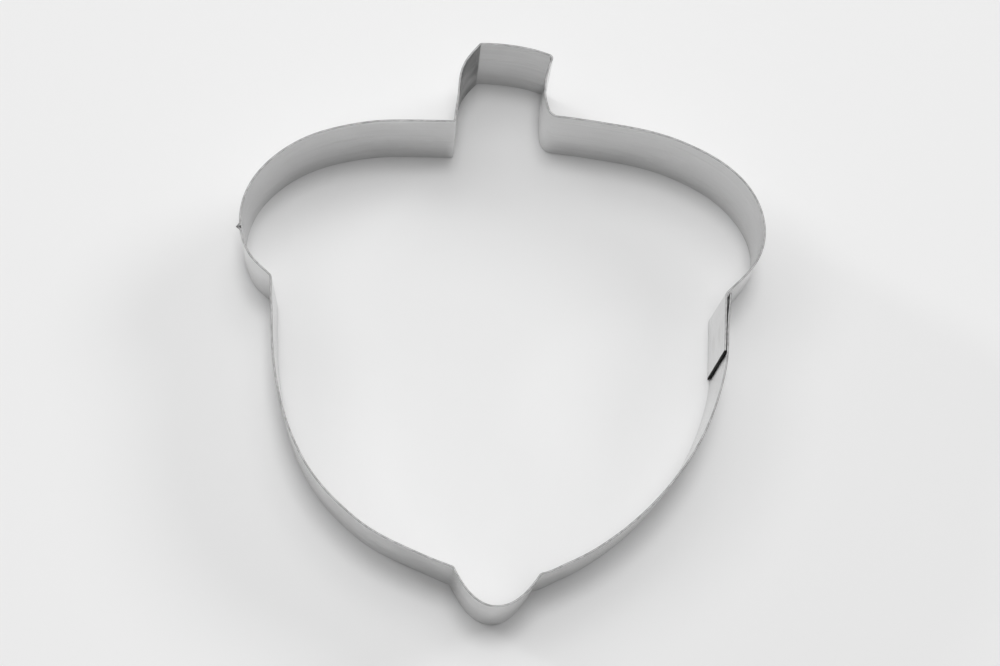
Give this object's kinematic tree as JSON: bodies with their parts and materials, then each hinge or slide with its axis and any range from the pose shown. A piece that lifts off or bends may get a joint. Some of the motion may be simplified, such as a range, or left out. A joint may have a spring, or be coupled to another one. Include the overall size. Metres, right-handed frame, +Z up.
{
  "type": "cookie cutter",
  "caption": "Acorn-shaped cookie cutter: a thin upright steel strip bent to the outline of cap, stem, nut and tip, lapped and spot welded at one side.",
  "frame": {"origin": "middle of the footprint, on the plane of the cutting edge", "axes": "+Z up from the cutting edge to the pressing edge, +Y from the tip towards the stem, +X towards the side with the lapped joint"},
  "size_m": [0.0819, 0.0885, 0.0254],
  "materials": {
    "tinned_steel": "bright tin-plated steel sheet, softly mirror-like with fine rolling lines along the strip"
  },
  "bodies": {
    "root": {"cutter_band": "tinned_steel"}
  },
  "joints": []
}
